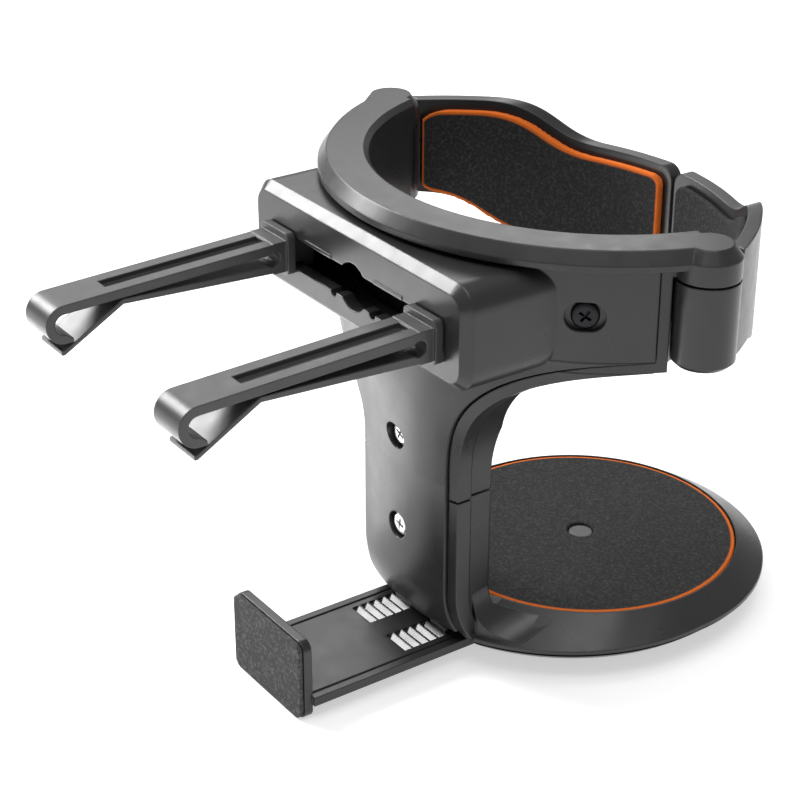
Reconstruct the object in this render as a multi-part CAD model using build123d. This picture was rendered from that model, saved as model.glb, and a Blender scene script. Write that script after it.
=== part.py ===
from build123d import *
import os
from math import atan2, cos, degrees, hypot, radians, sin, sqrt

# Air-vent cup holder. Millimetres, +Z up. The Z axis is the axis of the cup, Z = 0 is the
# surface that the base stands on, and the vent clips point to -Y. Right is +X.

# How far a cutting body runs past the faces that it cuts
overcut = 1.0

# Rim and ring
height = 82.5
cup_radius = 38.0
rim_top_width = 7.0
rim_bevel_out = 1.5
rim_bevel_drop = 2.0
rim_thickness = 3.0
rim_inner_chamfer = 0.9
ring_wall = 2.2
rim_gap = 0.4

# Front cover: panel round the ring, yoke and column front
cover_radius = 43.7
cover_wall = 2.0
panel_drop = 18.9
panel_end_angle = 27.6
yoke_fillet = 28.0
yoke_blend = 22.0
yoke_loft_steps = 6
foot_loft_steps = 4
cover_half_width = 11.4
column_front = 40.5
column_front_radius = 44.0
foot_curl_radius = 15.5
foot_curl_top = 15.3
cover_foot_height = 6.8

# Back shells: border round the cover, side walls and the face towards the cup
border_width = 2.0
border_recess = 0.5
border_depth = 2.6
side_step = 1.0
shell_wall = 2.0
seam = 0.25
column_back_radius = 32.9
column_back_top = 45.0
split_drop = 2.6
split_gap = 0.3

# Block with the clip slot
block_half_width = 29.5
block_front = 49.0
block_top_drop = 3.8
block_bottom_drop = 21.0
block_corner = 4.2
block_bevel = 1.5
block_wall = 2.2
slot_half_length = 24.0
slot_half_height = 2.7
slot_drop = 13.3
keyhole_radius = 4.0
notch_radius = 0.8
notch_offset = 5.4
guide_rib_start = 6.0
guide_rib_end = 13.5
guide_rib_height = 0.6
guide_rib_proud = 0.12

# Vent clips
clip_spacing = 40.6
clip_width = 7.1
clip_reach = 41.2
hook_radius = 3.2
hook_wall = 1.5
hook_tail = 1.2
prong_root_top = 2.4
prong_root_thickness = 1.7
prong_fall = 1.2
lower_prong_drop = 2.9
lower_prong_thickness = 1.6
kink_reach = 31.2
kink_drop = 1.1
kink_thickness = 0.8
lip_reach = 41.6
lip_drop = 7.0
lip_length = 0.5
lip_thickness = 0.7
collar_half_width = 4.1
collar_half_height = 3.6
collar_thickness = 1.4
collar_corner = 0.9
root_length = 2.4
relief_radius = 1.3
stem_half_width = 2.2
head_half_height = 3.3
head_thickness = 2.0
groove_width = 2.6
groove_depth = 0.8
groove_start = 4.4
groove_end = 33.0
slide_clearance = 0.25

# Hinges and arms
hinge_x = 41.4
hinge_y = -13.2
knuckle_radius = 5.0
knuckle_drop = 5.3
knuckle_gap = 0.4
knuckle_clearance = 0.45
arm_knuckle_drop = 19.5
arm_knuckle_bevel = 0.8
arm_radius = 50.8
arm_seat = 3.83
arm_turn = 22.8
arm_wall = 2.3
arm_top_drop = 1.9
arm_height = 17.3
arm_top_fall = 6.0
arm_bottom_fall = 8.2
arm_top_step_start = 34.0
arm_bottom_step_start = 42.0
arm_step_run = 18.0
arm_end_gap = 0.35
arm_corner = 2.6

# Foam pads
arm_pad_thickness = 1.2
arm_pad_top_inset = 1.7
arm_pad_bottom_inset = 0.8
arm_pad_start = 39.3
arm_pad_end_inset = 1.6
arm_pad_corner = 2.2
glue_gap = 0.05
tray_pad_radius = 27.7
tray_pad_thickness = 2.0
tray_pad_hole = 2.35
pad_fit = 0.2

# Hinge pins and torsion springs
pin_radius = 1.8
pin_fit = 0.05
pin_thread_radius = 1.4
pin_thread_length = 3.8
pin_head_radius = 2.7
pin_head_height = 1.3
pin_head_clearance = 0.3
spring_wire = 0.62
spring_leg_radius = 0.45
spring_coil_radius = 2.9
spring_turns = 2.0
spring_cavity_radius = 3.7
spring_cavity_depth = 6.2
spring_leg_reach = 1.2
spring_end_gap = 0.25
spring_leg_fit = 0.1

# Tray and base plate
tray_radius = 32.9
tray_edge_height = 6.2
tray_edge_thickness = 0.7
tray_edge_bevel = 0.8
tray_rim_height = 9.3
tray_floor_top = 7.2
tray_underside = 5.0
button_drop = 0.5
shoulder_start = 14.0
shoulder_front = 34.6
shoulder_x = 25.2
shoulder_y = 25.3
fillet_reach = 8.0
fillet_sag = 2.5
fillet_crest = 2.5
fillet_tip_y = -20.7
fillet_tip_height = 8.75
fillet_slope = 0.23
fillet_inset = 1.6
base_floor = 1.8
base_foot_inset = 8.6
base_heel_inset = 2.2
base_heel_height = 3.3
base_lip_inset = 0.6
base_wall = 1.8
base_gap = 0.25

# Support leg with its toothed racks and foot
leg_half_width = 11.0
leg_top = 4.2
leg_underside = 2.6
leg_line_inset = 1.4
leg_line_width = 0.4
leg_line_depth = 0.3
leg_inner_end = -8.0
leg_ear_length = 5.0
leg_ear_proud = 1.5
leg_clearance = 0.3
guide_wall = 1.6
rack_teeth = 6
rack_pitch = 1.75
rack_depth = 0.9
rack_start = -44.4
rack_width = 5.6
rack_spacing = 10.4
tooth_land = 0.35
foot_face = 66.8
foot_pad_thickness = 0.9
foot_plate_thickness = 1.5
foot_half_width = 10.4
foot_height = 14.6
foot_corner = 1.8
foot_pad_inset = 0.15
detent_leaf = 0.3
detent_width = 17.0
detent_back = -20.0
detent_root = -29.0
detent_nose_fit = 0.08
detent_nose_drop = 0.6
detent_nose_width = 4.4

# Screws
screw_head_radius = 2.2
screw_head_height = 1.3
screw_radius = 1.25
screw_length = 4.6
screw_seat_depth = 1.8
screw_hole_reach = 9.0
screw_head_clearance = 0.2
thread_clearance = 0.05
boss_radius = 3.2
upper_screw_rise = 5.1
lower_screw_drop = 9.4
panel_screw_angle = 41.9
panel_screw_drop = 11.4
panel_screw_head_radius = 2.2
panel_screw_head_height = 0.9
panel_screw_seat = 1.2
panel_recess_width = 6.4
panel_recess_height = 4.8
panel_boss_radius = 2.6
panel_screw_length = 2.9
base_screw_x = 16.4
base_screw_front = -13.0
base_screw_back = 14.0
base_screw_length = 5.0
base_screw_head = 1.2
base_boss_height = 1.6
base_seat = 1.5

# Heights and places that follow from the sizes above
rim_under = height - rim_thickness
rim_radius = cup_radius + rim_top_width
sector_reach = 2 * rim_radius
panel_top = rim_under - rim_gap
panel_bottom = height - panel_drop
ring_bottom = panel_bottom - border_width
column_straight = panel_bottom - yoke_fillet
column_low = tray_underside
split_height = column_straight - split_drop
upper_screw_height = column_straight + upper_screw_rise
lower_screw_height = split_height - lower_screw_drop
block_top = height - block_top_drop
block_bottom = height - block_bottom_drop
slot_height = height - slot_drop
knuckle_low = height - knuckle_drop
arm_knuckle_top = knuckle_low - knuckle_gap
arm_knuckle_low = height - arm_knuckle_drop
arm_inner_radius = arm_radius - arm_wall
arm_centre_x = hinge_x - (arm_radius - arm_seat) * cos(radians(arm_turn))
arm_centre_y = hinge_y - (arm_radius - arm_seat) * sin(radians(arm_turn))
arm_top = height - arm_top_drop
clip_x = clip_spacing / 2
prong_tip_top = prong_root_top - prong_fall
foot_front = -(foot_face - foot_pad_thickness)
foot_back = foot_front + foot_plate_thickness
tray_rim_inner = tray_pad_radius + pad_fit
base_top = tray_underside - base_gap


def along_y(outline, back, front):
    """Prism of an outline drawn in X and Z, from the Y of its back to the Y of its front."""
    plane = Plane((0, back, 0), x_dir=(1, 0, 0), z_dir=(0, -1, 0))
    return extrude(plane * outline, back - front)


def along_x(outline, low, high):
    """Prism of an outline drawn in Y and Z between two X values."""
    plane = Plane((low, 0, 0), x_dir=(0, 1, 0), z_dir=(1, 0, 0))
    return extrude(plane * outline, high - low)


def upright(outline, low, high):
    """Prism of an outline drawn in X and Y between two heights."""
    return extrude(Plane.XY.offset(low) * outline, high - low)


def turned(points):
    """Full turn about the cup axis of an outline of radius and height."""
    return revolve(Plane.XZ * make_face(Polyline(*points, close=True)), Axis.Z, 360)


def cylinder_z(x, y, radius, low, high):
    return Pos(x, y, low) * Cylinder(radius, high - low, align=(Align.CENTER, Align.CENTER, Align.MIN))


def box(x_low, x_high, y_low, y_high, z_low, z_high):
    size = (x_high - x_low, y_high - y_low, z_high - z_low)
    return Pos(x_low, y_low, z_low) * Box(*size, align=(Align.MIN, Align.MIN, Align.MIN))


def front_sector(half_angle, radius, low, high):
    """Pie centred on -Y, between the cup axis and a radius."""
    reach = radians(90 - half_angle)
    side = radius * cos(reach)
    edge = -radius * sin(reach)
    arc = ThreePointArc((-side, edge), (0, -radius), (side, edge))
    return upright(make_face(arc + Polyline((side, edge), (0, 0), (-side, edge))), low, high)


def right_and_left(solid):
    """A piece of the right side and its mirror image."""
    return solid, mirror(solid, Plane.YZ)


def yoke_half_width(z, grow):
    """Half width of the cover's outline at a height, grown all round."""
    rise = max(z - column_straight, 0)
    return cover_half_width + yoke_fillet - sqrt(max((yoke_fillet - grow) ** 2 - rise ** 2, 0))


def yoke_outline(grow, low):
    """Front view of the panel, yoke and column as one outline, grown all round."""
    side = cover_half_width + grow
    wing = cover_half_width + yoke_fillet
    bottom = panel_bottom - grow
    arc_middle = (yoke_fillet - grow) * cos(radians(45))
    rise = column_straight + arc_middle
    right = ThreePointArc((side, column_straight), (wing - arc_middle, rise), (wing, bottom))
    left = ThreePointArc((-wing, bottom), (-wing + arc_middle, rise), (-side, column_straight))
    top = Polyline((wing, bottom), (wing, height), (-wing, height), (-wing, bottom))
    foot = Polyline((-side, column_straight), (-side, low), (side, low), (side, column_straight))
    return make_face(right + top + left + foot)


def front_section(z, grow, setback):
    """Level section behind the cover's front surface, from that surface to the cup axis."""
    share = min(max((z - column_straight) / yoke_blend, 0), 1)
    share = share * share * (3 - 2 * share)
    apex = column_front + share * (cover_radius - column_front)
    radius = column_front_radius + share * (cover_radius - column_front_radius)
    fall = max(foot_curl_top - z, 0)
    curl = foot_curl_radius - sqrt(foot_curl_radius ** 2 - fall ** 2)
    centre = radius - apex + curl
    half = yoke_half_width(z, grow)
    edge = centre - sqrt((radius - setback) ** 2 - half ** 2)
    arc = ThreePointArc((-half, edge), (0, centre - radius + setback), (half, edge))
    return Plane.XY.offset(z) * make_face(arc + Polyline((half, edge), (half, 0), (-half, 0), (-half, edge)))


def behind_cover(grow, setback):
    """All that lies behind the cover's front surface, within its outline grown all round."""
    fillet_reach = yoke_fillet - grow
    turn = radians(90 / yoke_loft_steps)
    yoke_levels = [column_straight + fillet_reach * sin(turn * step) for step in range(yoke_loft_steps + 1)]
    foot_drop = (foot_curl_top - column_low) / foot_loft_steps
    foot_levels = [foot_curl_top - foot_drop * step for step in range(foot_loft_steps + 1)]
    yoke = loft([front_section(z, grow, setback) for z in yoke_levels])
    column = extrude(front_section(foot_curl_top, grow, setback), column_straight - foot_curl_top)
    foot = loft([front_section(z, grow, setback) for z in foot_levels])
    return yoke + column + foot


def cup_space(wall):
    """Space swept by a tapered cup, grown by a wall."""
    ring = cup_radius + wall
    column = column_back_radius + wall
    low = tray_floor_top
    return turned([(0, low), (column, low), (column, column_back_top), (ring, ring_bottom),
                   (ring, height + rim_thickness), (0, height + rim_thickness)])


def screw(head_radius, head_height, length):
    """Pan-head screw along +Z with its seat at Z = 0 and its head below."""
    head = cylinder_z(0, 0, head_radius, -head_height, 0)
    return head + cylinder_z(0, 0, screw_radius, 0, length)


def screw_hole(head_radius, seat_depth, length):
    """Head recess and pilot hole for a screw, along +Z with its seat at Z = 0."""
    hole = cylinder_z(0, 0, screw_radius + thread_clearance, 0, length)
    if seat_depth:
        hole = hole + cylinder_z(0, 0, head_radius + screw_head_clearance, -seat_depth, 0)
    return hole


def make_front_cover():
    panel = turned([(cover_radius - cover_wall, panel_bottom), (cover_radius, panel_bottom),
                    (cover_radius, panel_top), (cover_radius - cover_wall, panel_top)])
    skin = behind_cover(0, 0) - behind_cover(side_step, cover_wall)
    skin = skin - cylinder_z(0, 0, cover_radius - cover_wall, panel_bottom - side_step, panel_bottom)
    front = (panel + skin) & front_sector(90 - panel_end_angle, sector_reach, 0, panel_top)
    block_outline = RectangleRounded(2 * block_half_width, block_top - block_bottom, block_corner)
    block_outline = Pos(0, (block_top + block_bottom) / 2) * block_outline
    block = along_y(block_outline, 0, -block_front)
    block = chamfer(block.faces().sort_by(Axis.Y)[0].edges(), block_bevel)
    block = block - cylinder_z(0, 0, cover_radius - cover_wall, 0, height)
    cavity = Pos(0, (block_top + block_bottom) / 2) * Rectangle(
        2 * (block_half_width - block_wall), block_top - block_bottom - 2 * block_wall)
    cover = front + block - along_y(cavity, 0, -(block_front - block_wall))
    slot = Pos(0, slot_height) * Rectangle(2 * slot_half_length, 2 * slot_half_height)
    slot = slot + Pos(0, slot_height) * Circle(keyhole_radius)
    for side in (-1, 1):
        slot = slot + Pos(side * notch_offset, slot_height - slot_half_height) * Circle(notch_radius)
    cover = cover - along_y(slot, -block_front + block_wall + overcut, -block_front - overcut)
    rib_low = slot_height + slot_half_height
    for side in (-1, 1):
        ends = sorted((side * guide_rib_start, side * guide_rib_end))
        cover = cover + box(*ends, -block_front - guide_rib_proud, -block_front + guide_rib_proud,
                            rib_low, rib_low + guide_rib_height)
    for z in (upper_screw_height, lower_screw_height):
        boss = along_y(Pos(0, z) * Circle(boss_radius), -column_front + screw_seat_depth + cover_wall,
                       -column_front + cover_wall / 2)
        hole = screw_hole(screw_head_radius, screw_hole_reach, screw_length)
        cover = cover + boss - column_screw_place(z) * hole
    for side in (-1, 1):
        recess = SlotOverall(panel_recess_width, panel_recess_height, rotation=90)
        hole = screw_hole(0, 0, panel_screw_length) + extrude(recess, -screw_hole_reach)
        cover = cover - panel_screw_place(side) * hole
    return cover - box(-cover_radius, cover_radius, -block_front, 0, 0, cover_foot_height)


def column_screw_place(z):
    """Seat of a column screw, driven towards +Y."""
    return Pos(0, -column_front + screw_seat_depth, z) * Rot(-90, 0, 0)


def panel_screw_place(side):
    """Seat of a panel screw, driven towards the cup axis."""
    turn = -90 + side * (90 - panel_screw_angle)
    seat = cover_radius - panel_screw_seat
    return Rot(0, 0, turn) * Pos(seat, 0, height - panel_screw_drop) * Rot(0, -90, 0)


def column_boss(z):
    """Boss on the cup-side wall that takes a column screw."""
    front = -column_front + screw_seat_depth + cover_wall + seam
    return along_y(Pos(0, z) * Circle(boss_radius), -(column_back_radius + shell_wall / 2), front)


def column_pilot(z):
    """Pilot hole for a column screw in the boss and the wall behind it."""
    return column_screw_place(z) * screw_hole(0, 0, screw_length + thread_clearance)


def back_shell():
    """Border, side walls and cup-side wall of the yoke and column, before the split."""
    border = behind_cover(border_width, border_recess)
    border = border - behind_cover(border_width + overcut, border_recess + border_depth)
    border = border - along_y(yoke_outline(seam, 0), 0, -block_front)
    inset = side_step - shell_wall
    body = behind_cover(side_step, cover_wall + seam) - cup_space(0)
    inside = along_y(yoke_outline(inset, 0), 0, -block_front) - cup_space(shell_wall)
    shell = border + (body - inside) - cup_space(0)
    return shell & front_sector(90 - panel_end_angle, sector_reach, 0, height)


def make_ring_frame(shell):
    outer = rim_radius + rim_bevel_out
    ring = turned([(cup_radius, ring_bottom), (cup_radius + ring_wall, ring_bottom),
                   (cup_radius + ring_wall, rim_under), (outer, rim_under),
                   (outer, height - rim_bevel_drop), (rim_radius, height),
                   (cup_radius + rim_inner_chamfer, height), (cup_radius, height - rim_inner_chamfer)])
    half_angle = 90 - degrees(atan2(-hinge_y, hinge_x))
    border_radius = cover_radius - border_recess
    end_post = turned([(cup_radius, ring_bottom), (border_radius, ring_bottom),
                       (border_radius, rim_under), (cup_radius, rim_under)])
    seam_angle = degrees(seam / cover_radius)
    end_post = end_post - front_sector(90 - panel_end_angle + seam_angle, sector_reach, 0, height)
    sill_top = panel_bottom - seam
    sill = turned([(cup_radius, ring_bottom), (border_radius, ring_bottom),
                   (border_radius, sill_top), (cup_radius, sill_top)])
    sill = sill - along_y(yoke_outline(seam, 0), 0, -block_front)
    frame = (ring + end_post + sill) & front_sector(half_angle, sector_reach, 0, height)
    upper = box(-cover_radius, cover_radius, -block_front, 0,
                split_height + split_gap / 2, ring_bottom + ring_wall)
    frame = frame + (shell & upper) + column_boss(upper_screw_height) - column_pilot(upper_screw_height)
    for side in (-1, 1):
        place = panel_screw_place(side)
        gap = cover_wall - panel_screw_seat + seam
        root = cover_radius - panel_screw_seat - cup_radius - ring_wall / 2
        frame = frame + place * cylinder_z(0, 0, panel_boss_radius, gap, root)
        frame = frame - place * screw_hole(0, 0, panel_screw_length + thread_clearance)
        frame = frame - Pos(side * hinge_x, hinge_y) * knuckle_space()
        frame = frame + Pos(side * hinge_x, hinge_y) * ring_knuckle()
        frame = frame - cylinder_z(side * hinge_x, hinge_y, pin_thread_radius + thread_clearance, knuckle_low,
                                   knuckle_low + pin_thread_length + thread_clearance)
        leg_x = side * (hinge_x + spring_coil_radius)
        frame = frame - cylinder_z(leg_x, hinge_y, spring_leg_radius + spring_leg_fit,
                                   knuckle_low, knuckle_low + spring_leg_reach + spring_leg_fit)
    return frame


def knuckle_space():
    """Room round the arm's knuckle, under the ring's knuckle."""
    return cylinder_z(0, 0, knuckle_radius + knuckle_clearance, 0, knuckle_low)


def ring_knuckle():
    """Round end of the rim that carries a hinge pin, bevelled like the rim."""
    return turned([(0, knuckle_low), (knuckle_radius, knuckle_low), (knuckle_radius, height - rim_bevel_drop),
                   (knuckle_radius - rim_bevel_out, height), (0, height)])


def arm_outline(top_inset, bottom_inset, free_end, hinge_end):
    """Front view of an arm's stepped band, inset from its edges and cut at two X values."""
    top = arm_top - top_inset
    low = arm_top - arm_height + bottom_inset
    top_free = top - arm_top_fall
    low_free = low - arm_bottom_fall
    far = arm_radius + arm_wall
    half_run = arm_step_run / 2
    top_end = arm_top_step_start - arm_step_run
    low_end = arm_bottom_step_start - arm_step_run
    edges = Polyline((0, low_free), (0, top_free), (top_end, top_free))
    edges = edges + Bezier((top_end, top_free), (top_end + half_run, top_free),
                           (arm_top_step_start - half_run, top), (arm_top_step_start, top))
    edges = edges + Polyline((arm_top_step_start, top), (far, top), (far, low), (arm_bottom_step_start, low))
    edges = edges + Bezier((arm_bottom_step_start, low), (arm_bottom_step_start - half_run, low),
                           (low_end + half_run, low_free), (low_end, low_free))
    edges = edges + Line((low_end, low_free), (0, low_free))
    window_height = 2 * (arm_height + arm_bottom_fall)
    window = Pos((free_end + hinge_end) / 2, top) * Rectangle(hinge_end - free_end, window_height)
    return make_face(edges) & window


def arm_band(outline, outer, inner):
    """Part of a cylinder about the arm's own centre, cut to an outline."""
    ring = Circle(outer) - Circle(inner)
    ring = upright(Pos(arm_centre_x, arm_centre_y) * ring, 0, height + arm_height)
    return ring & along_y(outline, arm_radius, hinge_y + knuckle_clearance)


def make_arm():
    """Right arm with its hinge knuckle."""
    outline = arm_outline(0, 0, arm_end_gap, arm_radius)
    outline = fillet(outline.vertices().group_by(Axis.X)[0], arm_corner)
    band = arm_band(outline, arm_radius, arm_inner_radius)
    rim_reach = knuckle_radius + knuckle_clearance
    band = band - cylinder_z(hinge_x, hinge_y, rim_reach, arm_knuckle_top, height + arm_height)
    knuckle = cylinder_z(hinge_x, hinge_y, knuckle_radius, arm_knuckle_low, arm_knuckle_top)
    knuckle = chamfer(knuckle.edges().group_by(Axis.Z)[0], arm_knuckle_bevel)
    arm = band + knuckle
    arm = arm - cylinder_z(hinge_x, hinge_y, pin_radius + pin_fit, 0, height)
    recess_top = arm_knuckle_low + pin_head_clearance + pin_head_height + pin_fit
    arm = arm - cylinder_z(hinge_x, hinge_y, pin_head_radius + pin_head_clearance, 0, recess_top)
    cavity_low = arm_knuckle_top - spring_cavity_depth
    arm = arm - cylinder_z(hinge_x, hinge_y, spring_cavity_radius, cavity_low, height)
    return arm - cylinder_z(hinge_x + spring_coil_radius, hinge_y, spring_leg_radius + spring_leg_fit,
                            cavity_low - spring_leg_reach - spring_leg_fit, cavity_low)


def make_arm_pad():
    """Foam pad on the inside of the right arm."""
    free_end = arm_end_gap + arm_pad_end_inset
    outline = arm_outline(arm_pad_top_inset, arm_pad_bottom_inset, free_end, arm_pad_start)
    ends = outline.vertices().group_by(Axis.X)
    outline = fillet(ends[0] + ends[-1], arm_pad_corner)
    outer = arm_inner_radius - glue_gap
    return arm_band(outline, outer, outer - arm_pad_thickness)


def make_hinge_pin():
    """Shoulder screw that carries the right arm, driven up into the ring's knuckle."""
    head_low = arm_knuckle_low + pin_head_clearance
    head_top = head_low + pin_head_height
    pin = cylinder_z(hinge_x, hinge_y, pin_head_radius, head_low, head_top)
    pin = pin + cylinder_z(hinge_x, hinge_y, pin_radius, head_top, knuckle_low)
    return pin + cylinder_z(hinge_x, hinge_y, pin_thread_radius, knuckle_low, knuckle_low + pin_thread_length)


def make_arm_spring():
    """Torsion spring of square wire round the right hinge pin, one leg in the ring and one in the arm."""
    low = arm_knuckle_top - spring_cavity_depth + spring_end_gap + spring_wire / 2
    high = arm_knuckle_top - spring_end_gap - spring_wire / 2
    coil = Pos(hinge_x, hinge_y, low) * Helix((high - low) / spring_turns, high - low, spring_coil_radius)
    section = Plane(coil @ 0, x_dir=(1, 0, 0), z_dir=coil % 0) * Rectangle(spring_wire, spring_wire)
    wire = sweep(section, path=coil, is_frenet=True)
    leg_x = hinge_x + spring_coil_radius
    foot = arm_knuckle_top - spring_cavity_depth - spring_leg_reach
    wire = wire + cylinder_z(leg_x, hinge_y, spring_leg_radius, foot, low + spring_leg_radius)
    top = knuckle_low + spring_leg_reach
    return wire + cylinder_z(leg_x, hinge_y, spring_leg_radius, high - spring_leg_radius, top)


def clip_point(reach, rise):
    """Point of the clip's side view, from the block's face and the middle of the slot."""
    return -block_front - reach, slot_height + rise


def clip_arc(radius, start, end):
    """Arc about the centre of the clip's hook, angles from the outward direction."""
    centre = prong_tip_top - hook_radius
    turns = [radians(angle) for angle in (start, (start + end) / 2, end)]
    return [clip_point(clip_reach + radius * cos(turn), centre + radius * sin(turn)) for turn in turns]


def arc_strip(outer, inner, start, end):
    """Closed strip between two arcs about the centre of the clip's hook."""
    far = clip_arc(outer, start, end)
    near = clip_arc(inner, end, start)
    ends = Line(far[2], near[0]) + Line(near[2], far[0])
    return make_face(ThreePointArc(*far) + ThreePointArc(*near) + ends)


def clip_bar(*points):
    """Closed straight-sided outline of the clip's side view."""
    return make_face(Polyline(*[clip_point(*point) for point in points], close=True))


def make_clip():
    """Right vent clip: hooked upper prong, sprung lower prong, collar and slot head."""
    root_end = slide_clearance + collar_thickness + root_length
    under_root = prong_root_top - prong_root_thickness
    under_tip = prong_tip_top - hook_wall
    hook_low = prong_tip_top - 2 * hook_radius
    hook_end = clip_reach - hook_tail
    kink_top = kink_thickness - kink_drop
    lip_top = lip_thickness - lip_drop
    lip_end = lip_reach + lip_length
    lower_top = lower_prong_thickness - lower_prong_drop
    profile = clip_bar((slide_clearance, prong_root_top), (clip_reach, prong_tip_top),
                       (clip_reach, under_tip), (slide_clearance, under_root))
    profile = profile + arc_strip(hook_radius, hook_radius - hook_wall, -90, 90)
    profile = profile + clip_bar((hook_end, hook_low), (clip_reach, hook_low),
                                 (clip_reach, hook_low + hook_wall), (hook_end, hook_low + hook_wall / 2))
    profile = profile + clip_bar((slide_clearance, prong_root_top), (root_end, prong_root_top),
                                 (root_end, -lower_prong_drop), (slide_clearance, -lower_prong_drop))
    profile = profile + clip_bar((slide_clearance, lower_top), (root_end, lower_top), (kink_reach, kink_top),
                                 (kink_reach, -kink_drop), (slide_clearance, -lower_prong_drop))
    profile = profile + clip_bar((kink_reach, kink_top), (lip_reach, lip_top), (lip_end, lip_top),
                                 (lip_end, -lip_drop), (lip_reach, -lip_drop), (kink_reach, -kink_drop))
    profile = profile - Pos(*clip_point(root_end, (under_root + lower_top) / 2)) * Circle(relief_radius)
    clip = along_x(profile, clip_x - clip_width / 2, clip_x + clip_width / 2)
    tilt = prong_fall / clip_reach
    groove = clip_bar((groove_start, prong_root_top + groove_depth),
                      (groove_end, prong_root_top + groove_depth),
                      (groove_end, prong_root_top - tilt * groove_end - groove_depth),
                      (groove_start, prong_root_top - tilt * groove_start - groove_depth))
    clip = clip - along_x(groove, clip_x - groove_width / 2, clip_x + groove_width / 2)
    face = -block_front - slide_clearance
    inner_face = -block_front + block_wall + slide_clearance
    collar = RectangleRounded(2 * collar_half_width, 2 * collar_half_height, collar_corner)
    collar = along_y(Pos(clip_x, slot_height) * collar, face, face - collar_thickness)
    stem_half_height = slot_half_height - slide_clearance
    stem = box(clip_x - stem_half_width, clip_x + stem_half_width, face, inner_face,
               slot_height - stem_half_height, slot_height + stem_half_height)
    head = box(clip_x - stem_half_width, clip_x + stem_half_width, inner_face, inner_face + head_thickness,
               slot_height - head_half_height, slot_height + head_half_height)
    return clip + collar + stem + head


def egg(corner, bulge, radius):
    """Half a disc, with an arc on each side that leads forward through a bulge to a corner."""
    right = ThreePointArc(corner, bulge, (radius, 0))
    back = ThreePointArc((radius, 0), (0, radius), (-radius, 0))
    left = ThreePointArc((-radius, 0), (-bulge[0], bulge[1]), (-corner[0], corner[1]))
    return make_face(right + back + left + Line((-corner[0], corner[1]), corner))


def foot_plan(inset):
    """Plan of the tray, which widens forward to shoulders beside the column, drawn in by an inset."""
    share = 1 - inset / tray_radius
    corner = (share * shoulder_start, -share * shoulder_front)
    bulge = (share * shoulder_x, -share * shoulder_y)
    return egg(corner, bulge, share * tray_radius)


def pad_plan():
    """Plan of the pad's recess, with its corners in line with those of the tray."""
    corner_share = tray_rim_inner / hypot(shoulder_start, shoulder_front)
    bulge_share = tray_rim_inner / hypot(shoulder_x, shoulder_y)
    corner = (corner_share * shoulder_start, -corner_share * shoulder_front)
    bulge = (bulge_share * shoulder_x, -bulge_share * shoulder_y)
    return egg(corner, bulge, tray_rim_inner)


def level_loft(*levels):
    """Solid with straight walls through level plans, given as pairs of plan and height."""
    return loft([Plane.XY.offset(z) * plan for plan, z in levels], ruled=True)


def make_tray(shell):
    edge_low = tray_edge_height - tray_edge_thickness
    tray = level_loft((foot_plan(tray_edge_bevel), tray_underside), (foot_plan(0), edge_low),
                      (foot_plan(0), tray_edge_height), (pad_plan(), tray_rim_height))
    lower = box(-cover_radius, cover_radius, -block_front, 0, column_low, split_height - split_gap / 2)
    tray = tray + (shell & lower) + side_fillets()
    tray = tray - cylinder_z(0, 0, tray_rim_inner, tray_floor_top, height)
    button_radius = tray_pad_hole - pad_fit
    button_top = tray_floor_top + tray_pad_thickness - button_drop
    tray = tray + cylinder_z(0, 0, button_radius, tray_floor_top, button_top)
    tray = tray + column_boss(lower_screw_height) - column_pilot(lower_screw_height)
    for x, y in base_screw_places():
        tray = tray + cylinder_z(x, y, boss_radius, base_floor + base_boss_height + seam, tray_underside)
        tray = tray - Pos(x, y, base_seat) * screw_hole(0, 0, base_screw_length + thread_clearance)
    return tray


def side_fillets():
    """Fillets that run the sides of the column out into the sloping rim of the tray."""
    wall = cover_half_width + side_step
    inner = wall - shell_wall / 2
    low = fillet_tip_height
    high = low + fillet_reach
    foot = wall + fillet_reach
    arc = ThreePointArc((wall, high), (wall + fillet_sag, low + fillet_sag), (foot, low))
    rest = Polyline((foot, low), (foot, 0), (inner, 0), (inner, high), (wall, high))
    plane = Plane((0, fillet_tip_y, 0), x_dir=(1, 0, 0), z_dir=(0, -1, 0))
    wedge = extrude(plane * make_face(arc + rest), cover_radius, dir=(0, -1, -fillet_slope))
    room = upright(foot_plan(tray_edge_bevel), tray_underside, height)
    clear = tray_rim_inner + fillet_inset
    room = room - turned([(0, 0), (clear, 0), (clear, low), (column_back_radius, low + fillet_crest),
                          (column_back_radius, height), (0, height)])
    right, left = right_and_left(wedge & room)
    return right + left


def base_screw_places():
    """Centres of the screws that hold the base plate."""
    return [(side * base_screw_x, y) for side in (-1, 1) for y in (base_screw_front, base_screw_back)]


def make_base_plate():
    plate = level_loft((foot_plan(base_foot_inset), 0), (foot_plan(base_heel_inset), base_heel_height),
                       (foot_plan(base_lip_inset), base_top))
    inside = level_loft((foot_plan(base_foot_inset + base_wall), base_floor),
                        (foot_plan(base_lip_inset + base_wall), base_top))
    plate = plate - inside
    guide = leg_half_width + leg_clearance
    guide_end = leg_inner_end - leg_ear_length - leg_clearance
    guide_front = -tray_radius + base_foot_inset
    for side in (-1, 1):
        walls = sorted((side * guide, side * (guide + guide_wall)))
        plate = plate + box(*walls, guide_front, guide_end, base_floor / 2, base_top)
    plate = plate - box(-guide, guide, -foot_face, guide_end, base_floor, height)
    for x, y in base_screw_places():
        plate = plate + cylinder_z(x, y, boss_radius, base_floor / 2, base_floor + base_boss_height)
        plate = plate - Pos(x, y, base_seat) * screw_hole(screw_head_radius, base_seat, base_screw_length)
    return plate


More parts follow.
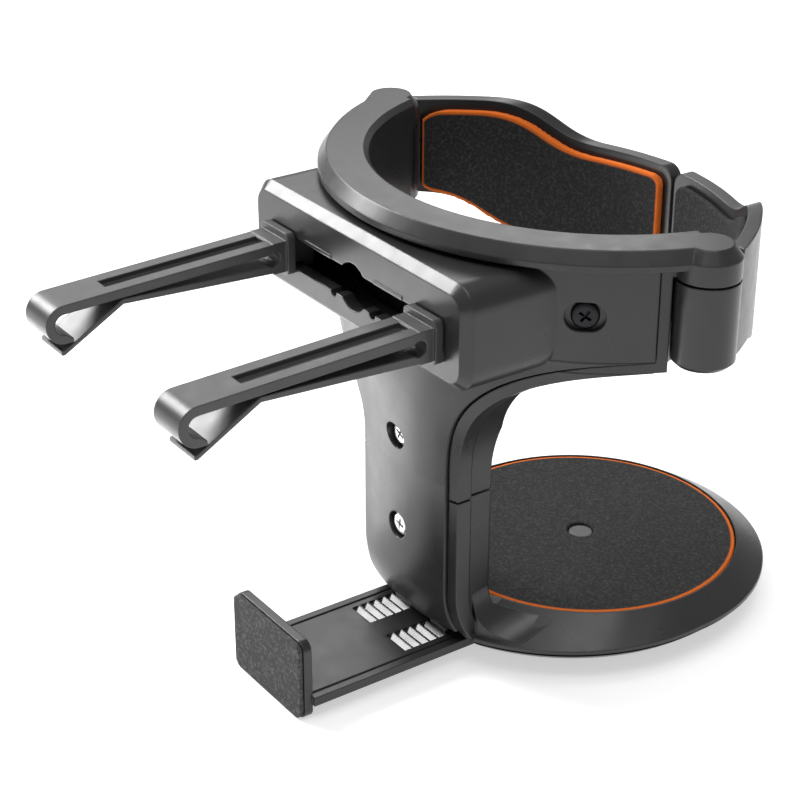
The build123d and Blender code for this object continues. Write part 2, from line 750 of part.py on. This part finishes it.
def make_support_leg():
    leg = box(-leg_half_width, leg_half_width, foot_back, leg_inner_end, leg_underside, leg_top)
    for side in (-1, 1):
        line = leg_half_width - leg_line_inset
        line = sorted((side * (line - leg_line_width), side * line))
        leg = leg - box(*line, foot_back, leg_inner_end, leg_top - leg_line_depth, leg_top)
        ear = sorted((side * (leg_half_width - leg_line_inset), side * (leg_half_width + leg_ear_proud)))
        leg = leg + box(*ear, leg_inner_end - leg_ear_length, leg_inner_end, leg_underside, leg_top)
        rack = side * rack_spacing / 2
        for tooth in range(rack_teeth):
            y = rack_start + tooth * rack_pitch
            slope_end = y + rack_pitch - tooth_land
            notch = Polyline((y, leg_top), (y, leg_top - rack_depth), (slope_end, leg_top), close=True)
            leg = leg - along_x(make_face(notch), rack - rack_width / 2, rack + rack_width / 2)
    plate = Pos(0, foot_height / 2) * RectangleRounded(2 * foot_half_width, foot_height, foot_corner)
    return leg + along_y(plate, foot_back, foot_front)


def make_foot_pad():
    width = 2 * (foot_half_width - foot_pad_inset)
    face = RectangleRounded(width, foot_height - 2 * foot_pad_inset, foot_corner - foot_pad_inset)
    return along_y(Pos(0, foot_height / 2) * face, foot_front, -foot_face)


def make_tray_pad():
    pad = cylinder_z(0, 0, tray_pad_radius, tray_floor_top, tray_floor_top + tray_pad_thickness)
    return pad - cylinder_z(0, 0, tray_pad_hole, 0, height)


def make_detent_leaf():
    """Spring leaf under the tray whose noses click along the leg's racks."""
    top = tray_underside - glue_gap
    low = top - detent_leaf
    nose = rack_start + (rack_teeth - 1) * rack_pitch + detent_nose_fit
    tip = leg_top - detent_nose_drop
    leaf = box(-detent_width / 2, detent_width / 2, detent_root, detent_back, low, top)
    finger = Polyline((detent_root, top), (nose, top), (nose, tip), (nose + detent_leaf, tip),
                      (nose + 2 * detent_leaf, low), (detent_root, low), close=True)
    for side in (-1, 1):
        middle = side * rack_spacing / 2
        half = detent_nose_width / 2
        leaf = leaf + along_x(make_face(finger), middle - half, middle + half)
    return leaf


nodes = {}
shell = back_shell()
nodes["front_cover"] = make_front_cover()
nodes["ring_frame"] = make_ring_frame(shell)
nodes["tray"] = make_tray(shell)
nodes["base_plate"] = make_base_plate()
nodes["support_leg"] = make_support_leg()
nodes["foot_pad"] = make_foot_pad()
nodes["tray_pad"] = make_tray_pad()
nodes["detent_leaf"] = make_detent_leaf()
nodes["right_arm"], nodes["left_arm"] = right_and_left(make_arm())
nodes["right_arm_pad"], nodes["left_arm_pad"] = right_and_left(make_arm_pad())
nodes["right_hinge_pin"], nodes["left_hinge_pin"] = right_and_left(make_hinge_pin())
nodes["right_arm_spring"], nodes["left_arm_spring"] = right_and_left(make_arm_spring())
nodes["right_clip"], nodes["left_clip"] = right_and_left(make_clip())
column_screw = screw(screw_head_radius, screw_head_height, screw_length)
nodes["upper_column_screw"] = column_screw_place(upper_screw_height) * column_screw
nodes["lower_column_screw"] = column_screw_place(lower_screw_height) * column_screw
panel_screw = screw(panel_screw_head_radius, panel_screw_head_height, panel_screw_length)
nodes["right_panel_screw"] = panel_screw_place(1) * panel_screw
nodes["left_panel_screw"] = panel_screw_place(-1) * panel_screw
base_screw = screw(screw_head_radius, base_screw_head, base_screw_length)
base_screw_names = ("left_front", "left_back", "right_front", "right_back")
for name, (x, y) in zip(base_screw_names, base_screw_places()):
    nodes[f"{name}_base_screw"] = Pos(x, y, base_seat) * base_screw

os.makedirs("parts", exist_ok=True)
for name, solid in nodes.items():
    export_step(solid, f"parts/{name}.step")
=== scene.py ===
import bmesh
import bpy
from math import cos, pi, radians, sin, tau
from mathutils import Matrix, Vector, noise
from mathutils.kdtree import KDTree


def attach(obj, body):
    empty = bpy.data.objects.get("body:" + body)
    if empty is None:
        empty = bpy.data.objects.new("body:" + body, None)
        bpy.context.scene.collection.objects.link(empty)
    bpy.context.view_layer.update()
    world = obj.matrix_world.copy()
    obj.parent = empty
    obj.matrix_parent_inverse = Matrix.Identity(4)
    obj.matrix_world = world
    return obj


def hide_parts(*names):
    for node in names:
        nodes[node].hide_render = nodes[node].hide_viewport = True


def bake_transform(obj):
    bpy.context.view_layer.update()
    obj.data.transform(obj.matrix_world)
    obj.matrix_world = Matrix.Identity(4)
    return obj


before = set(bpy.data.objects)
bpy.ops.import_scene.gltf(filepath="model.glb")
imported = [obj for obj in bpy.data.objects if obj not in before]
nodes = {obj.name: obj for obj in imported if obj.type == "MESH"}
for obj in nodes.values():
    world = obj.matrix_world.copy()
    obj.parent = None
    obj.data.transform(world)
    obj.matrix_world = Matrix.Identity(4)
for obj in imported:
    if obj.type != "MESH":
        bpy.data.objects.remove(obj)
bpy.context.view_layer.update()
MM = 0.001

# Camera, from the photograph: aim, distance, direction and focal length
AIM = Vector((-24.84, -22.61, 31.5)) * MM
DISTANCE = 365.45 * MM
AZIMUTH = radians(55.08)
ELEVATION = radians(26.92)
ROLL = radians(0.1)
LENS = 91.61
SENSOR = 36.0

# Lamps: place, what they are aimed at, size and radiance
RIM = Vector((0, -30, 80)) * MM
KEY = dict(place=AIM + Vector((-660, -290, 520)) * MM, aim=AIM, size=(0.36, 0.42), radiance=20.0)
BACK = dict(place=RIM + Vector((-377, 123, 230)) * MM, aim=RIM, size=(0.48, 0.12), radiance=3.4)
TOP = dict(place=AIM + Vector((150, -100, 1000)) * MM, aim=AIM, size=(0.8, 0.8), radiance=3.3)
TABLE = dict(place=Vector((-95, -102, 1.5)) * MM, aim=Vector((-95, -102, 100)) * MM, size=(0.12, 0.11),
             radiance=2.0)
WORLD_STRENGTH = 0.45
WORLD_REFLECTED = 0.35
FLOOR_SIZE = 6.0
FLOOR_LIFT = 0.52
FLOOR_SHADE = 0.60

# Finishes: the radius that softens their edges, and their colours
EDGE_SAMPLES = 6
MOULD_RADIUS = 0.35 * MM
FOAM_RADIUS = 0.2 * MM
METAL_RADIUS = 0.1 * MM
PLASTIC = (0.015, 0.015, 0.016)
PLASTIC_PALE = (0.020, 0.020, 0.021)
CLIP_PLASTIC = (0.030, 0.030, 0.031)
CLIP_PALE = (0.042, 0.042, 0.043)
FOAM_DARK = (0.016, 0.016, 0.016)
FOAM_PALE = (0.062, 0.061, 0.060)
FOOT_FOAM_DARK = (0.045, 0.045, 0.045)
FOOT_FOAM_PALE = (0.180, 0.179, 0.178)
# Painted glow: an orange line along the foam pads' cut edges stands in for a glowing outline; the foam
# itself has no orange edge
PAINTED_GLOW_ORANGE = (0.60, 0.125, 0.014)
ZINC = (0.66, 0.66, 0.67)
OXIDE = (0.025, 0.025, 0.027)
SPRING_STEEL = (0.42, 0.42, 0.44)
PLASTIC_IOR = 1.52

# Grain sizes of the plastic, the foam and the metal
PLASTIC_CLOUD = 14 * MM
PLASTIC_GLOSS = 3 * MM
PLASTIC_WAVE = 22 * MM
PLASTIC_GRAIN = 0.28 * MM
FOAM_SPECK = 0.55 * MM
FOAM_LUMP = 1.6 * MM
FOAM_PORE = 0.4 * MM
METAL_CLOUD = 1.2 * MM
PLATE_GRAIN = 0.5 * MM
WIRE_GRAIN = 0.25 * MM

# Foam pads: width of the painted orange glow line along the cut edge, size of the uneven face, and the
# edges that count as sharp
PAINTED_GLOW_WIDTH = 1.0 * MM
FOAM_WOBBLE = 0.05 * MM
FOAM_WOBBLE_SIZE = 2.2 * MM
SHARP_ANGLE = radians(50)
EDGE_STEP = 0.2 * MM
WELD = 0.001 * MM
PAD_HOLE_REACH = 10 * MM

# Screws: shank, thread, cross recess, and the head's profile as shares of its radius and height
SHANK = 1.25 * MM
THREAD_PITCH = 0.7 * MM
THREAD_DEPTH = 0.22 * MM
CROSS_WIDTH = 0.55 * MM
CROSS_DEPTH = 0.75 * MM
CROSS_REACH = 0.62
CROSS_TAPER = (0.55, 0.6)
HEAD_PROFILE = ((0.55, 0.0), (0.72, 0.03), (0.86, 0.14), (0.95, 0.32), (1.0, 0.55), (1.0, 1.0))
SCREW_SIDES = 40
PITCH_STEPS = 6
COLUMN_HEAD = 1.3 * MM
PANEL_HEAD = 0.9 * MM
BASE_HEAD = 1.2 * MM
PANEL_TURN = radians(41.9)


def principled(name):
    """New material with its node tree and shader."""
    material = bpy.data.materials.new(name)
    material.use_nodes = True
    tree = material.node_tree
    return material, tree, tree.nodes["Principled BSDF"]


def noise_node(tree, size, detail=2.0, roughness=0.5):
    """Noise in the piece's own space, with its grain size in metres."""
    place = tree.nodes.new("ShaderNodeTexCoord")
    grain = tree.nodes.new("ShaderNodeTexNoise")
    grain.inputs["Scale"].default_value = 1 / size
    grain.inputs["Detail"].default_value = detail
    grain.inputs["Roughness"].default_value = roughness
    tree.links.new(place.outputs["Object"], grain.inputs["Vector"])
    return grain.outputs["Fac"]


def ramp(tree, source, low, high, low_at=0.3, high_at=0.7):
    """Map a noise value to a range."""
    mapped = tree.nodes.new("ShaderNodeMapRange")
    for name, value in (("From Min", low_at), ("From Max", high_at), ("To Min", low), ("To Max", high)):
        mapped.inputs[name].default_value = value
    tree.links.new(source, mapped.inputs["Value"])
    return mapped.outputs["Result"]


def mix_colour(tree, share, first, second):
    """Blend two colours by a value from 0 to 1."""
    mixed = tree.nodes.new("ShaderNodeMix")
    mixed.data_type = "RGBA"
    for socket, colour in (("A_Color", first), ("B_Color", second)):
        target = next(item for item in mixed.inputs if item.identifier == socket)
        if isinstance(colour, tuple):
            target.default_value = (*colour, 1)
        else:
            tree.links.new(colour, target)
    tree.links.new(share, mixed.inputs["Factor"])
    return next(item for item in mixed.outputs if item.identifier == "Result_Color")


def bump(tree, shader, layers, edge_radius):
    """Round the edges and stack bump layers, each a height value, a strength and a depth in metres."""
    edge = tree.nodes.new("ShaderNodeBevel")
    edge.samples = EDGE_SAMPLES
    edge.inputs["Radius"].default_value = edge_radius
    normal = edge.outputs["Normal"]
    for height, strength, depth in layers:
        layer = tree.nodes.new("ShaderNodeBump")
        layer.inputs["Strength"].default_value = strength
        layer.inputs["Distance"].default_value = depth
        tree.links.new(height, layer.inputs["Height"])
        tree.links.new(normal, layer.inputs["Normal"])
        normal = layer.outputs["Normal"]
    tree.links.new(normal, shader.inputs["Normal"])


def moulded_plastic(name, dark, pale, roughness, grain):
    """Satin black plastic with the fine spark grain of its mould."""
    material, tree, shader = principled(name)
    cloud = noise_node(tree, PLASTIC_CLOUD, 3)
    tree.links.new(mix_colour(tree, ramp(tree, cloud, 0, 1), dark, pale), shader.inputs["Base Color"])
    spread = noise_node(tree, PLASTIC_GLOSS, 4)
    tree.links.new(ramp(tree, spread, roughness - 0.03, roughness + 0.04), shader.inputs["Roughness"])
    shader.inputs["IOR"].default_value = PLASTIC_IOR
    bump(tree, shader, [(noise_node(tree, PLASTIC_WAVE, 1), 0.25, 0.06 * MM),
                        (noise_node(tree, PLASTIC_GRAIN, 2), grain, 0.02 * MM)], MOULD_RADIUS)
    return material


def foam(name, dark, pale):
    """Open-grained dark foam with a painted orange glow line along its cut edge, where a per-vertex
    attribute of the pad marks it.
    """
    material, tree, shader = principled(name)
    speck = noise_node(tree, FOAM_SPECK, 6, 0.75)
    body = mix_colour(tree, ramp(tree, speck, 0, 1, 0.47, 0.78), dark, pale)
    painted_glow = tree.nodes.new("ShaderNodeAttribute")
    painted_glow.attribute_name = "painted_glow"
    # Painted glow: the orange line is mixed into the foam's colour where the attribute is high, at the cut
    # edge
    edge = ramp(tree, painted_glow.outputs["Fac"], 0, 1, 0.15, 0.5)
    tree.links.new(mix_colour(tree, edge, body, PAINTED_GLOW_ORANGE), shader.inputs["Base Color"])
    shader.inputs["Roughness"].default_value = 0.92
    shader.inputs["Specular IOR Level"].default_value = 0.25
    bump(tree, shader, [(noise_node(tree, FOAM_LUMP, 3), 0.35, 0.15 * MM),
                        (noise_node(tree, FOAM_PORE, 5, 0.7), 0.8, 0.12 * MM)], FOAM_RADIUS)
    return material


def metal(name, colour, roughness, grain_size):
    """Plated or drawn metal with fine scratches."""
    material, tree, shader = principled(name)
    cloud = noise_node(tree, METAL_CLOUD, 4)
    pale = tuple(min(1, 1.25 * value) for value in colour)
    tree.links.new(mix_colour(tree, ramp(tree, cloud, 0, 1), colour, pale), shader.inputs["Base Color"])
    shader.inputs["Metallic"].default_value = 1.0
    tree.links.new(ramp(tree, noise_node(tree, grain_size, 3), roughness, roughness + 0.12),
                   shader.inputs["Roughness"])
    bump(tree, shader, [(noise_node(tree, grain_size, 3), 0.3, 0.02 * MM)], METAL_RADIUS)
    return material


plastic = moulded_plastic("satin_plastic", PLASTIC, PLASTIC_PALE, 0.30, 0.12)
clip_plastic = moulded_plastic("clip_plastic", CLIP_PLASTIC, CLIP_PALE, 0.36, 0.18)
foam_face = foam("foam", FOAM_DARK, FOAM_PALE)
foot_foam = foam("foot_foam", FOOT_FOAM_DARK, FOOT_FOAM_PALE)
zinc = metal("zinc_plate", ZINC, 0.22, PLATE_GRAIN)
black_oxide = metal("black_oxide", OXIDE, 0.35, PLATE_GRAIN)
spring_steel = metal("spring_steel", SPRING_STEEL, 0.28, WIRE_GRAIN)


def dress(node, material):
    """Give a carried-over CAD node its finish."""
    nodes[node].data.materials.clear()
    nodes[node].data.materials.append(material)


for node in ("front_cover", "ring_frame", "tray", "base_plate", "support_leg", "right_arm", "left_arm"):
    dress(node, plastic)
for node in ("right_clip", "left_clip"):
    dress(node, clip_plastic)
dress("detent_leaf", spring_steel)
for node in ("right_hinge_pin", "left_hinge_pin"):
    dress(node, zinc)


def add_object(name, mesh, material):
    """New piece in the scene with one material."""
    piece = bpy.data.objects.new(name, mesh)
    bpy.context.scene.collection.objects.link(piece)
    mesh.materials.clear()
    mesh.materials.append(material)
    return piece


def shade_smooth(mesh):
    """Smooth shading on every face."""
    mesh.polygons.foreach_set("use_smooth", [True] * len(mesh.polygons))


def welded(mesh):
    """Bmesh of a CAD node with its split vertices joined."""
    form = bmesh.new()
    form.from_mesh(mesh)
    bmesh.ops.remove_doubles(form, verts=form.verts, dist=WELD)
    return form


def sharp_edge_points(form, keep):
    """Search tree of points along a solid's sharp edges."""
    points = []
    for edge in form.edges:
        if len(edge.link_faces) == 2 and edge.calc_face_angle() > SHARP_ANGLE:
            first, second = (vertex.co for vertex in edge.verts)
            steps = max(2, int((second - first).length / EDGE_STEP))
            points += [first.lerp(second, i / steps) for i in range(steps + 1)]
    points = [point for point in points if keep(point)]
    tree = KDTree(len(points))
    for index, point in enumerate(points):
        tree.insert(point, index)
    tree.balance()
    return tree


def foam_pad(node, body, material, voxel, smoothing, with_painted_glow, keep=lambda point: True):
    """Foam sheet over a CAD pad: its edges rounded, its face uneven, its cut edge marked for the painted
    orange glow line.
    """
    form = welded(nodes[node].data)
    edges = sharp_edge_points(form, keep)
    mesh = bpy.data.meshes.new(f"{node}_foam")
    form.to_mesh(mesh)
    form.free()
    pad = add_object(f"{node}_foam", mesh, material)
    remesh = pad.modifiers.new("remesh", "REMESH")
    remesh.mode = "VOXEL"
    remesh.voxel_size = voxel
    smooth = pad.modifiers.new("smooth", "SMOOTH")
    smooth.factor = 0.5
    smooth.iterations = smoothing
    bpy.context.view_layer.update()
    shaped = bpy.data.meshes.new_from_object(pad.evaluated_get(bpy.context.evaluated_depsgraph_get()))
    pad.modifiers.clear()
    pad.data = shaped
    bpy.data.meshes.remove(mesh)
    shaped.materials.clear()
    shaped.materials.append(material)
    places = [vertex.co.copy() for vertex in shaped.vertices]
    outward = [vertex.normal.copy() for vertex in shaped.vertices]
    painted_glow = shaped.attributes.new("painted_glow", "FLOAT", "POINT")
    # Painted glow: the attribute falls from 1 at a sharp cut edge to 0 one glow width away
    if with_painted_glow:
        painted_glow.data.foreach_set("value", [max(0.0, 1 - edges.find(place)[2] / PAINTED_GLOW_WIDTH) for place in places])
    sunk = []
    for place, normal in zip(places, outward):
        wobble = noise.noise(place / FOAM_WOBBLE_SIZE)
        sunk.extend(place - normal * FOAM_WOBBLE * (0.5 + 0.5 * wobble))
    shaped.vertices.foreach_set("co", sunk)
    shade_smooth(shaped)
    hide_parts(node)
    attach(pad, body)
    return pad


def away_from_hole(point):
    """The small hole in the middle of the tray pad gets no painted orange glow line."""
    return point.xy.length > PAD_HOLE_REACH


# The tray pad and the left arm pad get the painted orange glow line; the right arm pad and the foot pad do
# not
foam_pad("tray_pad", "holder", foam_face, 0.30 * MM, 4, True, away_from_hole)
foam_pad("right_arm_pad", "right_arm", foam_face, 0.24 * MM, 3, False)
foam_pad("left_arm_pad", "left_arm", foam_face, 0.24 * MM, 3, True)
foam_pad("foot_pad", "leg", foot_foam, 0.18 * MM, 3, False)


def lathe(form, rows, sides):
    """Surface of revolution about Z through rows of radius and height functions of the turn."""
    rings = []
    for row in rows:
        ring = []
        for side in range(sides):
            turn = tau * side / sides
            radius, z = row(turn)
            ring.append(form.verts.new((radius * cos(turn), radius * sin(turn), z)))
        rings.append(ring)
    for lower, upper in zip(rings, rings[1:]):
        for side in range(sides):
            after = (side + 1) % sides
            form.faces.new((lower[side], lower[after], upper[after], upper[side]))
    form.faces.new(reversed(rings[0]))
    form.faces.new(rings[-1])
    return rings


def screw_axis(node, direction):
    """Middle line and ends of a CAD screw along a direction."""
    side = direction.cross(Vector((0, 0, 1)))
    if side.length < 0.5:
        side = Vector((1, 0, 0))
    side.normalize()
    across = direction.cross(side)
    corners = [vertex.co for vertex in nodes[node].data.vertices]

    def middle(along):
        reach = [corner.dot(along) for corner in corners]
        return (min(reach) + max(reach)) / 2

    start = min(corner.dot(direction) for corner in corners)
    end = max(corner.dot(direction) for corner in corners)
    origin = side * middle(side) + across * middle(across) + direction * start
    return origin, side, across, end - start


def head_radius_of(node, direction, origin):
    """Largest radius of a CAD screw about its middle line."""
    reach = [(vertex.co - origin) - direction * (vertex.co - origin).dot(direction)
             for vertex in nodes[node].data.vertices]
    return max(step.length for step in reach)


def cross_screw(node, body, direction, head_height, material, turn):
    """Pan-head screw with a cross recess and a thread, in place of a CAD screw."""
    direction = Vector(direction).normalized()
    origin, side, across, length = screw_axis(node, direction)
    head = head_radius_of(node, direction, origin)
    form = bmesh.new()

    def ring(radius, z):
        return lambda angle: (radius, z)

    def thread_ring(z):
        def row(angle):
            phase = (z / THREAD_PITCH - angle / tau) % 1
            return SHANK - THREAD_DEPTH * abs(2 * phase - 1) ** 0.8, z
        return row

    rows = [ring(head * width, head_height * drop) for width, drop in HEAD_PROFILE]
    steps = int((length - head_height) / THREAD_PITCH * PITCH_STEPS)
    rows += [thread_ring(head_height + (length - head_height) * i / steps) for i in range(steps + 1)]
    lathe(form, rows, SCREW_SIDES)
    bmesh.ops.recalc_face_normals(form, faces=form.faces)
    mesh = bpy.data.meshes.new(f"{node}_cross")
    form.to_mesh(mesh)
    form.free()
    piece = add_object(f"{node}_cross", mesh, material)

    cutter_form = bmesh.new()
    narrow, thin = CROSS_TAPER
    for angle in (0, pi / 2):
        reach = head * CROSS_REACH
        spin = Matrix.Rotation(angle + turn, 4, "Z")
        top = [(-reach, -CROSS_WIDTH / 2), (reach, -CROSS_WIDTH / 2), (reach, CROSS_WIDTH / 2),
               (-reach, CROSS_WIDTH / 2)]
        low = [cutter_form.verts.new(spin @ Vector((x * narrow, y * thin, CROSS_DEPTH))) for x, y in top]
        high = [cutter_form.verts.new(spin @ Vector((x, y, -CROSS_DEPTH))) for x, y in top]
        cutter_form.faces.new(low)
        cutter_form.faces.new(reversed(high))
        for i in range(4):
            after = (i + 1) % 4
            cutter_form.faces.new((high[i], high[after], low[after], low[i]))
    bmesh.ops.recalc_face_normals(cutter_form, faces=cutter_form.faces)
    cutter_mesh = bpy.data.meshes.new("cross_cutter")
    cutter_form.to_mesh(cutter_mesh)
    cutter_form.free()
    cutter = bpy.data.objects.new("cross_cutter", cutter_mesh)
    bpy.context.scene.collection.objects.link(cutter)
    cut = piece.modifiers.new("cross", "BOOLEAN")
    cut.operation = "DIFFERENCE"
    cut.solver = "EXACT"
    cut.use_self = True
    cut.object = cutter
    bpy.context.view_layer.update()
    shaped = bpy.data.meshes.new_from_object(piece.evaluated_get(bpy.context.evaluated_depsgraph_get()))
    piece.modifiers.clear()
    piece.data = shaped
    bpy.data.objects.remove(cutter)
    bpy.data.meshes.remove(mesh)
    place = Matrix((side, across, direction)).transposed().to_4x4()
    if place.determinant() < 0:
        place = Matrix((-side, across, direction)).transposed().to_4x4()
    shaped.transform(Matrix.Translation(origin) @ place)
    shaped.materials.clear()
    shaped.materials.append(material)
    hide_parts(node)
    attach(piece, body)
    return piece


cross_screw("upper_column_screw", "holder", (0, 1, 0), COLUMN_HEAD, zinc, 0.5)
cross_screw("lower_column_screw", "holder", (0, 1, 0), COLUMN_HEAD, zinc, 0.2)
for name, side in (("right", 1), ("left", -1)):
    inward = (-side * cos(PANEL_TURN), sin(PANEL_TURN), 0)
    cross_screw(f"{name}_panel_screw", "holder", inward, PANEL_HEAD, black_oxide, 0.6)
    for end in ("front", "back"):
        cross_screw(f"{name}_{end}_base_screw", "holder", (0, 0, 1), BASE_HEAD, black_oxide,
                    0.3)


def wound_spring(side):
    """Torsion spring between the ring, which holds its top leg, and the arm, copied from its CAD piece."""
    node = f"{side}_arm_spring"
    piece = add_object(f"{node}_wound", nodes[node].data.copy(), spring_steel)
    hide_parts(node)
    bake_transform(piece)


for name in ("right", "left"):
    wound_spring(name)


def build_world():
    """White behind the object, and softer white for its light and its reflections."""
    world = bpy.data.worlds.new("studio")
    bpy.context.scene.world = world
    world.use_nodes = True
    tree = world.node_tree
    back = tree.nodes["Background"]
    back.inputs["Color"].default_value = (1, 1, 1, 1)
    rays = tree.nodes.new("ShaderNodeLightPath")
    lit = ramp(tree, rays.outputs["Is Glossy Ray"], WORLD_STRENGTH, WORLD_REFLECTED, 0, 1)
    seen = tree.nodes.new("ShaderNodeMath")
    seen.operation = "MAXIMUM"
    tree.links.new(rays.outputs["Is Camera Ray"], seen.inputs[0])
    tree.links.new(lit, seen.inputs[1])
    tree.links.new(seen.outputs["Value"], back.inputs["Strength"])


def build_floor():
    """Pale floor that keeps the shadow."""
    bpy.ops.mesh.primitive_plane_add(size=FLOOR_SIZE)
    floor = bpy.context.object
    floor.name = "floor"
    material, tree, shader = principled("floor")
    shader.inputs["Base Color"].default_value = (FLOOR_SHADE, FLOOR_SHADE, FLOOR_SHADE, 1)
    shader.inputs["Roughness"].default_value = 0.8
    shader.inputs["Specular IOR Level"].default_value = 0.1
    shader.inputs["Emission Color"].default_value = (1, 1, 1, 1)
    shader.inputs["Emission Strength"].default_value = FLOOR_LIFT
    floor.data.materials.append(material)


def soft_lamp(name, place, aim, size, radiance, spin=0.0):
    """Area lamp at a place, aimed at a point and given by its radiance."""
    lamp = bpy.data.lights.new(name, "AREA")
    lamp.shape = "RECTANGLE"
    lamp.size, lamp.size_y = size
    lamp.energy = radiance * pi * size[0] * size[1]
    holder = bpy.data.objects.new(name, lamp)
    bpy.context.scene.collection.objects.link(holder)
    turn = (aim - place).to_track_quat("-Z", "Y").to_matrix() @ Matrix.Rotation(spin, 3, "Z")
    holder.matrix_world = Matrix.Translation(place) @ turn.to_4x4()
    holder.visible_camera = False


def build_camera():
    """Camera at the photograph's place and angle."""
    back = Vector((sin(AZIMUTH) * cos(ELEVATION), -cos(AZIMUTH) * cos(ELEVATION), sin(ELEVATION)))
    data = bpy.data.cameras.new("camera")
    data.lens = LENS
    data.sensor_width = SENSOR
    data.clip_start = DISTANCE / 100
    camera = bpy.data.objects.new("camera", data)
    bpy.context.scene.collection.objects.link(camera)
    turn = (-back).to_track_quat("-Z", "Y").to_matrix() @ Matrix.Rotation(ROLL, 3, "Z")
    camera.matrix_world = Matrix.Translation(AIM + back * DISTANCE) @ turn.to_4x4()
    bpy.context.scene.camera = camera


build_world()
build_floor()
for name, lamp in (("key", KEY), ("back", BACK), ("top", TOP), ("table", TABLE)):
    soft_lamp(name, **lamp)
build_camera()
bpy.context.scene.view_settings.view_transform = "Standard"
